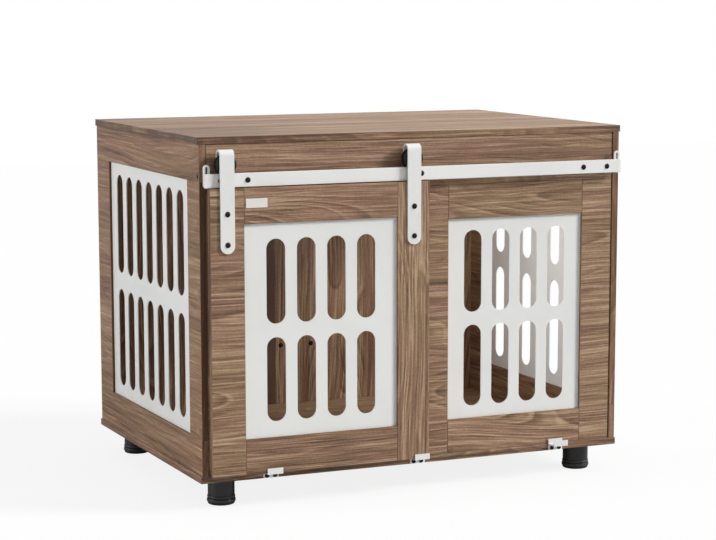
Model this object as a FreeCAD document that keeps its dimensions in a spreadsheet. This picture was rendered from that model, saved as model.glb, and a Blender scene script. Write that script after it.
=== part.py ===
import FreeCAD, Part
import Sketcher
import math
import os

# A dog crate that doubles as an end table: a wooden cabinet on four feet with white slotted grilles,
# a fixed front panel on the right and a door on the left that hangs from two rollers on a track.
# Millimetres. +Z is up, the front faces -Y, and the origin lies on the floor under the middle of
# everything, with the hanger bolts counted in the depth.

doc = FreeCAD.newDocument("dog_crate_end_table")
Vector = FreeCAD.Vector
Rotation = FreeCAD.Rotation

DRIVING_SIZES = {
    # carcass
    "width": 800,
    "depth": 560,
    "body_height": 580,
    "board": 12,
    "edge_softening": 0.6,
    "side_inset": 2.5,
    "side_rail": 62,
    "side_front_stile": 60,
    "side_rear_stile": 72,
    "front_setback": 1.5,
    "seam": 1,
    "fascia_height": 82.5,
    "panel_stile": 60,
    "panel_rail": 60,
    "back_thick": 4.5,
    "rabbet": 6,
    # door
    "door_gap": 8,
    "door_side_lap": 1,
    "door_middle_lap": 13,
    "door_lift": 0.5,
    "door_head_gap": 1.5,
    "door_stile": 60,
    "door_top_rail": 60,
    "door_bottom_rail": 61,
    "plate_width": 38,
    "plate_height": 15.5,
    "plate_thick": 0.8,
    "plate_side_gap": 3,
    "plate_drop": 17.5,
    # grilles
    "grille_thick": 1.5,
    "grille_recess": 4.5,
    "grille_seat": 5.5,
    "slot_width": 34,
    "slot_pitch": 55,
    "slot_edge": 25,
    "slot_rows": 2,
    "front_slot_gap": 23,
    "side_slot_gap": 30,
    "door_slot_margin": 26.5,
    "panel_slot_margin": 21,
    "side_slot_margin": 21,
    # track, stops and rollers
    "track_height": 23,
    "track_thick": 5,
    "track_drop": 59.6,
    "track_inset": 7,
    "track_end_bolt": 28,
    "track_second_bolt": 75.5,
    "spacer_radius": 6,
    "stop_width": 11,
    "stop_drop": 1.1,
    "stop_thick": 3,
    "stop_rise": 15,
    "stop_inset": 5,
    "stop_slot": 4.5,
    "roller_width": 13,
    "roller_tread": 14,
    "roller_flange": 18,
    "roller_groove": 6.2,
    "groove_flare": 0.8,
    "roller_rim": 1.5,
    "ride_gap": 0.3,
    "axle_radius": 3,
    "axle_collar_radius": 5,
    "axle_collar": 0.45,
    "axle_head_radius": 6,
    "axle_head": 1.5,
    # hangers
    "strap_width": 25,
    "strap_thick": 3,
    "strap_side_gap": 0.75,
    "hook_clear": 4.3,
    "hook_tail": 4.25,
    "hanger_bolt_drop": 42,
    "hanger_bolt_pitch": 50.8,
    "hanger_end": 14.7,
    # floor guides
    "guide_width": 28,
    "guide_thick": 1.5,
    "guide_inset": 125,
    "guide_lip": 8.7,
    "guide_lip_gap": 0.5,
    "guide_foot": 0.5,
    "guide_screw_spacing": 14.6,
    "guide_screw_height": 4.6,
    "guide_screw_head_radius": 4.1,
    # feet
    "foot_height": 48,
    "foot_radius": 23,
    "foot_toe_radius": 23.3,
    "foot_neck_radius": 22.6,
    "foot_round": 3,
    "foot_low_ring_radius": 24.6,
    "foot_low_ring": 5.8,
    "foot_low_ring_start": 4.2,
    "foot_high_ring_radius": 24,
    "foot_high_ring": 3.7,
    "foot_groove": 1.5,
    "foot_ring_round": 1.2,
    "foot_inset_side": 54,
    "foot_inset_front": 51,
    "stud_radius": 4,
    "stud_in_board": 9,
    "stud_in_foot": 15,
    # fasteners
    "bolt_radius": 3,
    "bolt_head_radius": 4.75,
    "bolt_head": 2.5,
    "nut_radius": 6,
    "nut": 1.5,
    "socket_radius": 1.5,
    "socket_rim": 2,
    "socket_depth": 1.4,
    "screw_radius": 2,
    "screw_head_radius": 3.8,
    "screw_head": 2.2,
    "screw_length": 25,
    "dowel_radius": 3,
    "dowel_length": 30,
    "dowel_in_top": 8,
    "dowel_inset": 15,
    "nail_radius": 0.8,
    "nail_head_radius": 2,
    "nail_head": 0.5,
    "nail_length": 6,
    "nail_inset": 70,
    "nail_rows": 5,
    "side_pegs": 3,
    "back_screw_spacing": 64,
    "back_screw_height": 116.5,
    "fascia_screw_drop": 53,
    # clearances
    "groove_clear": 0.1,
    "bore_clear": 0.1,
    "running_clear": 0.05,
    "end_clear": 0.5,
    "overcut": 1,
}

# Planes and spans that follow from the driving sizes.
WORKED_OUT = {
    # levels
    "floor_face": "=sizes.foot_height",
    "base_top": "=floor_face + sizes.board",
    "top_face": "=floor_face + sizes.body_height",
    "top_under": "=top_face - sizes.board",
    "inner_height": "=top_under - base_top",
    # the carcass in plan
    "front_reach": "=sizes.door_gap + sizes.board + sizes.strap_thick + sizes.bolt_head",
    "front": "=(front_reach - sizes.depth) / 2",
    "rear": "=front + sizes.depth",
    "side_outer": "=sizes.width / 2 - sizes.side_inset",
    "side_inner": "=side_outer - sizes.board",
    "side_middle": "=side_outer - sizes.board / 2",
    "panel_front": "=front + sizes.front_setback",
    "panel_middle": "=panel_front + sizes.board / 2",
    "fascia_half": "=side_inner - sizes.seam",
    "fascia_under": "=top_under - sizes.fascia_height",
    "panel_width": "=fascia_half",
    "panel_height": "=fascia_under - base_top",
    # the track, the roller on it and the door under it
    "door_back": "=front - sizes.door_gap",
    "door_front": "=door_back - sizes.board",
    "hook_inside": "=sizes.roller_width + 2 * sizes.strap_side_gap",
    "roller_middle": "=door_front + hook_inside / 2",
    "track_top": "=top_face - sizes.track_drop",
    "track_under": "=track_top - sizes.track_height",
    "track_middle": "=track_top - sizes.track_height / 2",
    "track_half": "=sizes.width / 2 - sizes.track_inset",
    "stop_height": "=sizes.track_height + sizes.stop_rise + sizes.stop_drop",
    "track_front": "=roller_middle - sizes.track_thick / 2",
    "track_back": "=track_front + sizes.track_thick",
    "axle_height": "=track_top + sizes.ride_gap + sizes.roller_tread",
    "door_under": "=base_top + sizes.door_lift",
    "door_top": "=track_under - sizes.door_head_gap",
    "door_height": "=door_top - door_under",
    "door_left": "=-side_inner - sizes.door_side_lap",
    "door_right": "=sizes.door_middle_lap",
    "door_width": "=door_right - door_left",
    "hanger_left_middle": "=door_left + sizes.door_stile / 2",
    "hanger_right_middle": "=door_right - sizes.door_stile / 2",
    "hanger_bolt_high": "=door_top - sizes.hanger_bolt_drop",
    "hanger_bolt_low": "=hanger_bolt_high - sizes.hanger_bolt_pitch",
    "hanger_drop": "=axle_height - hanger_bolt_low + sizes.hanger_end",
    "hook_rise": "=sizes.roller_flange + sizes.hook_clear - hook_inside / 2",
    # feet
    "foot_left": "=-sizes.width / 2 + sizes.foot_inset_side",
    "foot_front": "=front + sizes.foot_inset_front",
}


def fill_sheet(name, entries):
    """A spreadsheet with one named value in each row."""
    sheet = doc.addObject("Spreadsheet::Sheet", name)
    for row, (alias, content) in enumerate(entries.items(), 1):
        sheet.set(f"A{row}", alias)
        sheet.set(f"B{row}", str(content))
        sheet.setAlias(f"B{row}", alias)
    doc.recompute()
    return sheet


sizes = fill_sheet("sizes", DRIVING_SIZES)
places = fill_sheet("places", WORKED_OUT)
sub_parts = []

FACING_FRONT = Rotation(Vector(0, 0, 1), 0)
FACING_LEFT = Rotation(Vector(0, 0, 1), -90)
FACING_RIGHT = Rotation(Vector(0, 0, 1), 90)
POINTING = {
    "X": Rotation(Vector(0, 1, 0), 90),
    "Y": Rotation(Vector(1, 0, 0), -90),
    "Z": Rotation(Vector(0, 0, 1), 0),
    "FRONT": Rotation(Vector(1, 0, 0), 90),
}
ORIGIN = ("0", "0", "0")
PAIR = "2"


def value(formula):
    """The number that a formula of the two sheets comes to."""
    result = sizes.evalExpression(formula)
    return float(getattr(result, "Value", result))


def new_body(label, place=ORIGIN, turn=FACING_FRONT):
    """A sub-part whose own origin stands at a place given by three formulas."""
    body = doc.addObject("PartDesign::Body", label)
    body.Label = label
    body.Placement = FreeCAD.Placement(Vector(0, 0, 0), turn)
    for axis, formula in zip("xyz", place):
        body.setExpression(f"Placement.Base.{axis}", formula)
    sub_parts.append(body)
    return body


def origin_feature(body, role):
    """An axis or a plane of the body's own origin."""
    return next(item for item in body.Origin.OriginFeatures if item.Role == role)


def box(body, name, size, at=ORIGIN, kind="Additive"):
    """A box of the body, from its low corner, added or taken away."""
    feature = body.newObject(f"PartDesign::{kind}Box", name)
    for side, formula in zip(("Length", "Width", "Height"), size):
        feature.setExpression(side, formula)
    for axis, formula in zip("xyz", at):
        feature.setExpression(f"Placement.Base.{axis}", formula)
    return feature


def rod(body, name, radius, length, at, along="Z", run=None, kind="Additive"):
    """A cylinder of the body that starts at a point along an axis, repeated along a run."""
    feature = body.newObject(f"PartDesign::{kind}Cylinder", name)
    feature.Placement = FreeCAD.Placement(Vector(0, 0, 0), POINTING[along])
    feature.setExpression("Radius", radius)
    feature.setExpression("Height", length)
    for axis, formula in zip("xyz", at):
        feature.setExpression(f"Placement.Base.{axis}", formula)
    if run:
        pattern(body, feature, run)
    return feature


def cut_box(body, name, size, at):
    return box(body, name, size, at, "Subtractive")


def bore(body, name, radius, length, at, along="Z", run=None):
    return rod(body, name, radius, length, at, along, run, "Subtractive")


def pattern(body, feature, run):
    """Repeats a feature along a run, which is an axis letter, a spacing and a count."""
    axis, spacing, count = run
    repeat = body.newObject("PartDesign::LinearPattern", f"{feature.Name}_row")
    repeat.Originals = [feature]
    repeat.Direction = (origin_feature(body, f"{axis}_Axis"), [""])
    repeat.Mode = "Spacing"
    repeat.setExpression("Offset", spacing)
    repeat.setExpression("Occurrences", count)
    body.Tip = repeat


def button_head(body, name, radius, height, at, run=None):
    """A domed bolt head on a face at a point, towards the front, with a hexagon socket in its flat
    tip. The dome is a zone of a ball whose middle lies behind the face."""
    behind = f"(({radius} ^ 2 - sizes.socket_rim ^ 2 - {height} ^ 2) / (2 * {height}))"
    ball_radius = f"sqrt({radius} ^ 2 + {behind} ^ 2)"
    x, y, z = at
    dome = body.newObject("PartDesign::AdditiveSphere", name)
    dome.Placement = FreeCAD.Placement(Vector(0, 0, 0), POINTING["FRONT"])
    dome.setExpression("Radius", ball_radius)
    dome.setExpression("Angle1", f"asin({behind} / {ball_radius})")
    dome.setExpression("Angle2", f"asin(({behind} + {height}) / {ball_radius})")
    for axis, formula in zip("xyz", (x, f"{y} + {behind}", z)):
        dome.setExpression(f"Placement.Base.{axis}", formula)
    if run:
        pattern(body, dome, run)
    socket = body.newObject("PartDesign::SubtractivePrism", f"{name}_socket")
    socket.Placement = FreeCAD.Placement(Vector(0, 0, 0), POINTING["Y"])
    socket.setExpression("Circumradius", "sizes.socket_radius")
    socket.setExpression("Height", "sizes.socket_depth + sizes.overcut")
    front = f"{y} - {height} - sizes.overcut"
    for axis, formula in zip("xyz", (x, front, z)):
        socket.setExpression(f"Placement.Base.{axis}", formula)
    if run:
        pattern(body, socket, run)


def soften(body, feature, size="sizes.edge_softening"):
    """Breaks every edge of a plain board."""
    chamfer = body.newObject("PartDesign::Chamfer", f"{feature.Name}_edges")
    chamfer.Base = (feature, ["Edge1"])
    chamfer.UseAllEdges = True
    chamfer.setExpression("Size", size)
    return chamfer


def board(label, size, at, place=ORIGIN, turn=FACING_FRONT):
    """A plain board with softened edges."""
    body = new_body(label, place, turn)
    soften(body, box(body, f"{label}_blank", size, at))
    return body


def sketch_on(body, name, plane, shift=ORIGIN):
    """An empty sketch on a plane of the body's origin, moved in the plane and off it."""
    sketch = body.newObject("Sketcher::SketchObject", name)
    sketch.AttachmentSupport = [(origin_feature(body, plane), "")]
    sketch.MapMode = "FlatFace"
    for axis, formula in zip("xyz", shift):
        sketch.setExpression(f"AttachmentOffset.Base.{axis}", formula)
    return sketch


def dimension(sketch, constraint, formula):
    """Adds a dimension whose value follows a formula."""
    index = sketch.addConstraint(constraint)
    sketch.setExpression(f"Constraints[{index}]", formula)


def outline(body, name, plane, corners, shift=ORIGIN):
    """A closed sketch through corners. A corner is (x, y) for a straight edge that ends there, or
    (x, y, centre x, centre y, turn) for an arc, where turn is "left" or "right" along the way."""
    sketch = sketch_on(body, name, plane, shift)
    spots = [(value(corner[0]), value(corner[1])) for corner in corners]
    ends = []
    for index, corner in enumerate(corners):
        start = Vector(*spots[index - 1], 0)
        end = Vector(*spots[index], 0)
        if len(corner) == 2:
            sketch.addGeometry(Part.LineSegment(start, end))
            ends.append((1, 2))
            continue
        centre = Vector(value(corner[2]), value(corner[3]), 0)
        first, last = (start, end) if corner[4] == "left" else (end, start)
        circle = Part.Circle(centre, Vector(0, 0, 1), (start - centre).Length)
        arc = Part.ArcOfCircle(circle, circle.parameter(first), circle.parameter(last))
        sketch.addGeometry(arc)
        ends.append((1, 2) if corner[4] == "left" else (2, 1))
    for index, corner in enumerate(corners):
        following = (index + 1) % len(corners)
        tip = ends[index][1]
        sketch.addConstraint(
            Sketcher.Constraint("Coincident", index, tip, following, ends[following][0])
        )
        across, up = spots[index]
        dimension(sketch, Sketcher.Constraint("DistanceX", -1, 1, index, tip, across), corner[0])
        dimension(sketch, Sketcher.Constraint("DistanceY", -1, 1, index, tip, up), corner[1])
        if len(corner) == 2:
            continue
        before = spots[index - 1]
        level = abs(across - before[0]) >= abs(up - before[1])
        kind, formula = ("DistanceY", corner[3]) if level else ("DistanceX", corner[2])
        held = Sketcher.Constraint(kind, -1, 1, index, 3, value(formula))
        dimension(sketch, held, formula)
    return sketch


def slot_outline(body, name, width, length, shift):
    """A sketch of an upright slot with full round ends, about its own middle."""
    sketch = sketch_on(body, name, "XZ_Plane", shift)
    radius = value(width) / 2
    run = value(length) / 2 - radius
    flat = Vector(0, 0, 1)
    top = Part.ArcOfCircle(Part.Circle(Vector(0, run, 0), flat, radius), 0, math.pi)
    low = Part.ArcOfCircle(Part.Circle(Vector(0, -run, 0), flat, radius), math.pi, 2 * math.pi)
    sketch.addGeometry(top)
    sketch.addGeometry(Part.LineSegment(Vector(-radius, run, 0), Vector(-radius, -run, 0)))
    sketch.addGeometry(low)
    sketch.addGeometry(Part.LineSegment(Vector(radius, -run, 0), Vector(radius, run, 0)))
    for edge in range(4):
        sketch.addConstraint(Sketcher.Constraint("Tangent", edge, 2, (edge + 1) % 4, 1))
    sketch.addConstraint(Sketcher.Constraint("Vertical", 1))
    sketch.addConstraint(Sketcher.Constraint("Symmetric", 0, 3, 2, 3, -1, 1))
    dimension(sketch, Sketcher.Constraint("Radius", 0, radius), f"({width}) / 2")
    dimension(
        sketch,
        Sketcher.Constraint("DistanceY", 2, 3, 0, 3, 2 * run),
        f"({length}) - ({width})",
    )
    return sketch


def pad(body, name, sketch, length):
    feature = body.newObject("PartDesign::Pad", name)
    feature.Profile = sketch
    feature.setExpression("Length", length)
    return feature


def pocket_through(body, name, sketch):
    """Cuts a sketch on an XZ plane through all that stands behind it."""
    feature = body.newObject("PartDesign::Pocket", name)
    feature.Profile = sketch
    feature.Type = "ThroughAll"
    return feature


def revolve(body, name, sketch, axis):
    feature = body.newObject("PartDesign::Revolution", name)
    feature.Profile = sketch
    feature.ReferenceAxis = (sketch, [axis])
    feature.Angle = 360
    return feature


# ---------------------------------------------------------------- framed panels with a grille


def grille(label, panel, place, turn):
    """A thin white plate with rows of upright slots, seated in the grooves of its frame."""
    opening_left = panel["stile_left"]
    opening_width = f"({panel['width']} - {panel['stile_left']} - {panel['stile_right']})"
    opening_height = f"({panel['height']} - {panel['rail_low']} - {panel['rail_high']})"
    body = new_body(label, place, turn)
    box(
        body,
        f"{label}_plate",
        (
            f"{opening_width} + 2 * sizes.grille_seat",
            "sizes.grille_thick",
            f"{opening_height} + 2 * sizes.grille_seat",
        ),
        (
            f"{opening_left} - sizes.grille_seat",
            "sizes.grille_recess",
            f"{panel['rail_low']} - sizes.grille_seat",
        ),
    )
    room = f"({opening_width} - 2 * sizes.slot_edge - sizes.slot_width)"
    columns = f"(floor({room} / sizes.slot_pitch) + 1)"
    margin = panel["margin"]
    gap = panel["gap"]
    length = f"(({opening_height} - 2 * {margin} + {gap}) / sizes.slot_rows - {gap})"
    first_column = (
        f"{opening_left} + {opening_width} / 2 - ({columns} - 1) * sizes.slot_pitch / 2"
    )
    first_row = f"{panel['rail_low']} + {margin} + {length} / 2"
    for row in range(int(value("sizes.slot_rows"))):
        row_middle = f"{first_row} + {row} * ({length} + {gap})"
        sketch = slot_outline(
            body,
            f"{label}_slot_outline_{row}",
            "sizes.slot_width",
            length,
            (first_column, row_middle, "0"),
        )
        slot = pocket_through(body, f"{label}_slot_{row}", sketch)
        pattern(body, slot, ("X", "sizes.slot_pitch", columns))
    return body


def framed_panel(prefix, panel, names, place, turn=FACING_FRONT):
    """Two stiles, two rails and a grille in one plane. The panel's own x runs along its width from
    the left as it is faced, y from its front face back, and z up from its lower edge."""
    width = panel["width"]
    height = panel["height"]
    left = panel["stile_left"]
    right = panel["stile_right"]
    low = panel["rail_low"]
    high = panel["rail_high"]
    thick = "sizes.board"
    right_start = f"{width} - {right}"
    high_start = f"{height} - {high}"
    opening_width = f"({width} - {left} - {right})"
    opening_height = f"({height} - {low} - {high})"
    if panel["rails_run_through"]:
        spans = {
            "left": ((left, thick, opening_height), ("0", "0", low)),
            "right": ((right, thick, opening_height), (right_start, "0", low)),
            "low": ((width, thick, low), ORIGIN),
            "high": ((width, thick, high), ("0", "0", high_start)),
        }
    else:
        spans = {
            "left": ((left, thick, height), ORIGIN),
            "right": ((right, thick, height), (right_start, "0", "0")),
            "low": ((opening_width, thick, low), (left, "0", "0")),
            "high": ((opening_width, thick, high), (left, "0", high_start)),
        }
    boards = {
        side: board(f"{prefix}_{names[side]}", size, at, place, turn)
        for side, (size, at) in spans.items()
    }

    # the groove for the grille, in the inner edge of each board
    groove_depth = "(sizes.grille_seat + sizes.end_clear)"
    groove_width = "sizes.grille_thick + 2 * sizes.groove_clear"
    groove_front = "sizes.grille_recess - sizes.groove_clear"
    tall = f"{opening_height} + 2 * {groove_depth}"
    wide = f"{opening_width} + 2 * {groove_depth}"
    groove_low = f"{low} - {groove_depth}"
    groove_left = f"{left} - {groove_depth}"
    grooves = {
        "left": ((groove_depth, groove_width, tall), (groove_left, groove_front, groove_low)),
        "right": ((groove_depth, groove_width, tall), (right_start, groove_front, groove_low)),
        "low": ((wide, groove_width, groove_depth), (groove_left, groove_front, groove_low)),
        "high": ((wide, groove_width, groove_depth), (groove_left, groove_front, high_start)),
    }
    for side, (size, at) in grooves.items():
        cut_box(boards[side], f"{boards[side].Name}_groove", size, at)

    # two dowels in each corner joint, blind in both boards
    pegs = new_body(f"{prefix}_dowels", place, turn)
    half = "sizes.dowel_length / 2"
    blind = f"({half} + sizes.end_clear)"
    middle = "sizes.board / 2"
    for column, column_start, column_width in (("left", "0", left), ("right", right_start, right)):
        for level, level_start, level_height in (("low", "0", low), ("high", high_start, high)):
            if panel["rails_run_through"]:
                along = "Z"
                joint = low if level == "low" else high_start
                first = (f"{column_start} + sizes.dowel_inset", middle, joint)
                step = ("X", f"{column_width} - 2 * sizes.dowel_inset", PAIR)
            else:
                along = "X"
                joint = left if column == "left" else right_start
                first = (joint, middle, f"{level_start} + sizes.dowel_inset")
                step = ("Z", f"{level_height} - 2 * sizes.dowel_inset", PAIR)
            axis = "xyz".index(along.lower())
            peg_start = [*first]
            peg_start[axis] = f"{joint} - {half}"
            hole_start = [*first]
            hole_start[axis] = f"{joint} - {blind}"
            name = f"{prefix}_{column}_{level}"
            rod(pegs, f"{name}_dowel", "sizes.dowel_radius", f"2 * {half}", peg_start, along, run=step)
            for piece in (boards[column], boards[level]):
                bore(
                    piece,
                    f"{piece.Name}_{column}_{level}_dowel_hole",
                    "sizes.dowel_radius + sizes.bore_clear",
                    f"2 * {blind}",
                    hole_start,
                    along,
                    run=step,
                )
    grille(f"{prefix}_grille", panel, place, turn)
    return boards


# ---------------------------------------------------------------- carcass

board_span = ("sizes.width", "sizes.depth", "sizes.board")
board_corner = ("-sizes.width / 2", "places.front")
top_board = board("top_board", board_span, (*board_corner, "places.top_under"))
bottom_board = board("bottom_board", board_span, (*board_corner, "places.floor_face"))

side_panel = {
    "width": "sizes.depth",
    "height": "places.inner_height",
    "rail_low": "sizes.side_rail",
    "rail_high": "sizes.side_rail",
    "margin": "sizes.side_slot_margin",
    "gap": "sizes.side_slot_gap",
    "rails_run_through": True,
}
side_names = {"low": "bottom_rail", "high": "top_rail"}
left_side = framed_panel(
    "left_side",
    {
        **side_panel,
        "stile_left": "sizes.side_rear_stile",
        "stile_right": "sizes.side_front_stile",
    },
    {**side_names, "left": "rear_stile", "right": "front_stile"},
    ("-places.side_outer", "places.rear", "places.base_top"),
    FACING_LEFT,
)
right_side = framed_panel(
    "right_side",
    {
        **side_panel,
        "stile_left": "sizes.side_front_stile",
        "stile_right": "sizes.side_rear_stile",
    },
    {**side_names, "left": "front_stile", "right": "rear_stile"},
    ("places.side_outer", "places.front", "places.base_top"),
    FACING_RIGHT,
)

# The thin back lies in a rabbet of the side panels' rear edges and is nailed there.
rabbet_width = "sizes.back_thick"
rabbet_depth = "sizes.rabbet"
for side, rear_edge in ((left_side, "0"), (right_side, f"sizes.depth - {rabbet_width}")):
    for piece in side.values():
        if piece.Name.endswith("front_stile"):
            continue
        cut_box(
            piece,
            f"{piece.Name}_rabbet",
            (rabbet_width, rabbet_depth, "places.inner_height"),
            (rear_edge, f"sizes.board - {rabbet_depth}", "0"),
        )
back_half = "(places.side_inner + sizes.rabbet - sizes.groove_clear)"
back_panel = new_body("back_panel")
box(
    back_panel,
    "back_sheet",
    (f"2 * {back_half}", "sizes.back_thick", "places.inner_height"),
    (f"-{back_half}", "places.rear - sizes.back_thick", "places.base_top"),
)
nail_line = "(places.side_inner + sizes.rabbet / 2)"
nail_low = "places.base_top + sizes.nail_inset"
nail_step = "(places.inner_height - 2 * sizes.nail_inset) / (sizes.nail_rows - 1)"
nail_run = ("Z", nail_step, "sizes.nail_rows")
nail_hole_radius = "sizes.nail_radius + sizes.bore_clear"
nail_reach = "(sizes.back_thick + sizes.nail_length)"
nails = new_body("back_panel_nails")
for side_name, nail_x in (("left", f"-{nail_line}"), ("right", nail_line)):
    rod(
        nails,
        f"{side_name}_nail",
        "sizes.nail_radius",
        nail_reach,
        (nail_x, f"places.rear - {nail_reach}", nail_low),
        "Y",
        run=nail_run,
    )
    rod(
        nails,
        f"{side_name}_nail_head",
        "sizes.nail_head_radius",
        "sizes.nail_head",
        (nail_x, "places.rear", nail_low),
        "Y",
        run=nail_run,
    )
    bore(
        back_panel,
        f"{side_name}_nail_hole",
        nail_hole_radius,
        "sizes.back_thick + 2 * sizes.overcut",
        (nail_x, "places.rear - sizes.back_thick - sizes.overcut", nail_low),
        "Y",
        run=nail_run,
    )
for side, hole_start in (
    (left_side, "0"),
    (right_side, f"sizes.depth - {nail_reach} - sizes.end_clear"),
):
    for piece in side.values():
        if piece.Name.endswith("front_stile"):
            continue
        bore(
            piece,
            f"{piece.Name}_nail_hole",
            nail_hole_radius,
            f"{nail_reach} + sizes.end_clear",
            (hole_start, f"sizes.board - {rabbet_depth} / 2", "sizes.nail_inset"),
            "X",
            run=nail_run,
        )

# Two black screws low in the back, with their heads inside the cabin.
back_screws = new_body("back_panel_screws")
back_screw_at = ("-sizes.back_screw_spacing / 2", "places.base_top + sizes.back_screw_height")
back_screw_pair = ("X", "sizes.back_screw_spacing", PAIR)
back_inside = "places.rear - sizes.back_thick"
rod(
    back_screws,
    "back_shank",
    "sizes.screw_radius",
    "sizes.back_thick",
    (back_screw_at[0], back_inside, back_screw_at[1]),
    "Y",
    run=back_screw_pair,
)
button_head(
    back_screws,
    "back_head",
    "sizes.bolt_head_radius",
    "sizes.screw_head",
    (back_screw_at[0], back_inside, back_screw_at[1]),
    back_screw_pair,
)
bore(
    back_panel,
    "back_screw_hole",
    "sizes.screw_radius + sizes.bore_clear",
    "sizes.back_thick + 2 * sizes.overcut",
    (back_screw_at[0], f"{back_inside} - sizes.overcut", back_screw_at[1]),
    "Y",
    run=back_screw_pair,
)

# The fascia board behind the track, and the fixed panel that closes the right half of the front.
fascia = board(
    "fascia_board",
    ("2 * places.fascia_half", "sizes.board", "sizes.fascia_height"),
    ("-places.fascia_half", "places.panel_front", "places.fascia_under"),
)
fixed = framed_panel(
    "fixed_panel",
    {
        "width": "places.panel_width",
        "height": "places.panel_height",
        "stile_left": "sizes.panel_stile",
        "stile_right": "sizes.panel_stile",
        "rail_low": "sizes.panel_rail",
        "rail_high": "sizes.panel_rail",
        "margin": "sizes.panel_slot_margin",
        "gap": "sizes.front_slot_gap",
        "rails_run_through": False,
    },
    {"left": "left_stile", "right": "right_stile", "low": "bottom_rail", "high": "top_rail"},
    ("0", "places.panel_front", "places.base_top"),
)

# ---------------------------------------------------------------- fasteners of the carcass

hole_radius = "sizes.screw_radius + sizes.bore_clear"
peg_hole = "sizes.dowel_radius + sizes.bore_clear"

# Dowels between the top board and the side panels, the fascia and the side panels' top rails.
top_pegs = new_body("top_dowels")
peg_in_rail = "(sizes.dowel_length - sizes.dowel_in_top)"
peg_bottom = f"places.top_under - {peg_in_rail}"
side_peg_step = "(sizes.depth - 2 * sizes.nail_inset) / (sizes.side_pegs - 1)"
side_peg_run = ("Y", side_peg_step, "sizes.side_pegs")
side_peg_y = "places.front + sizes.nail_inset"
fascia_peg_run = ("X", "places.fascia_half", PAIR)
fascia_peg_at = ("-places.fascia_half / 2", "places.panel_middle")
for name, at, run in (
    ("left_peg", ("-places.side_middle", side_peg_y), side_peg_run),
    ("right_peg", ("places.side_middle", side_peg_y), side_peg_run),
    ("fascia_peg", fascia_peg_at, fascia_peg_run),
):
    rod(top_pegs, name, "sizes.dowel_radius", "sizes.dowel_length", (*at, peg_bottom), run=run)
    hole_start = f"{peg_bottom} - sizes.end_clear"
    hole_length = "sizes.dowel_length + 2 * sizes.end_clear"
    bore(top_board, f"{name}_hole", peg_hole, hole_length, (*at, hole_start), run=run)
bore(
    fascia,
    "fascia_top_hole",
    peg_hole,
    f"{peg_in_rail} + sizes.end_clear",
    (*fascia_peg_at, f"{peg_bottom} - sizes.end_clear"),
    run=fascia_peg_run,
)
for side in (left_side, right_side):
    rail = side["high"]
    bore(
        rail,
        f"{rail.Name}_top_hole",
        peg_hole,
        f"{peg_in_rail} + sizes.end_clear",
        (
            "sizes.nail_inset",
            "sizes.board / 2",
            f"places.inner_height - {peg_in_rail} - sizes.end_clear",
        ),
        run=("X", *side_peg_run[1:]),
    )

# Dowels between the fascia and the top of the fixed panel.
fascia_pegs = new_body("fascia_dowels")
half_peg = "sizes.dowel_length / 2"
blind_half = f"({half_peg} + sizes.end_clear)"
fascia_row = ("X", "places.panel_width - sizes.panel_stile", PAIR)
rod(
    fascia_pegs,
    "panel_peg",
    "sizes.dowel_radius",
    "sizes.dowel_length",
    ("sizes.panel_stile / 2", "places.panel_middle", f"places.fascia_under - {half_peg}"),
    run=fascia_row,
)
bore(
    fascia,
    "panel_peg_hole",
    peg_hole,
    blind_half,
    ("sizes.panel_stile / 2", "places.panel_middle", "places.fascia_under"),
    run=fascia_row,
)
for side in ("left", "right"):
    stile = fixed[side]
    middle_x = "sizes.panel_stile / 2"
    if side == "right":
        middle_x = f"places.panel_width - {middle_x}"
    bore(
        stile,
        f"{stile.Name}_peg_hole",
        peg_hole,
        blind_half,
        (middle_x, "sizes.board / 2", f"places.panel_height - {blind_half}"),
    )

# Screws from under the bottom board into the side panels and the fixed panel.
base_screws = new_body("base_screws")
shank_length = "(sizes.screw_length - sizes.screw_head)"
for name, at, run in (
    ("left_screw", ("-places.side_middle", side_peg_y), side_peg_run),
    ("right_screw", ("places.side_middle", side_peg_y), side_peg_run),
    ("panel_screw", ("sizes.panel_stile / 2", "places.panel_middle"), fascia_row),
):
    rod(
        base_screws,
        f"{name}_head",
        "sizes.screw_head_radius",
        "sizes.screw_head",
        (*at, "places.floor_face"),
        run=run,
    )
    rod(
        base_screws,
        f"{name}_shank",
        "sizes.screw_radius",
        shank_length,
        (*at, "places.floor_face + sizes.screw_head"),
        run=run,
    )
    bore(
        bottom_board,
        f"{name}_sink",
        "sizes.screw_head_radius + sizes.bore_clear",
        "sizes.screw_head + sizes.overcut",
        (*at, "places.floor_face - sizes.overcut"),
        run=run,
    )
    bore(
        bottom_board,
        f"{name}_hole",
        hole_radius,
        "sizes.board + sizes.overcut",
        (*at, "places.floor_face"),
        run=run,
    )
pilot_depth = "sizes.screw_length - sizes.board + sizes.end_clear"
for side in (left_side, right_side):
    rail = side["low"]
    bore(
        rail,
        f"{rail.Name}_base_hole",
        hole_radius,
        pilot_depth,
        ("sizes.nail_inset", "sizes.board / 2", "0"),
        run=("X", *side_peg_run[1:]),
    )
for side in ("left", "right"):
    stile = fixed[side]
    middle_x = "sizes.panel_stile / 2"
    if side == "right":
        middle_x = f"places.panel_width - {middle_x}"
    bore(
        stile,
        f"{stile.Name}_base_hole",
        hole_radius,
        pilot_depth,
        (middle_x, "sizes.board / 2", "0"),
    )

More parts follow.
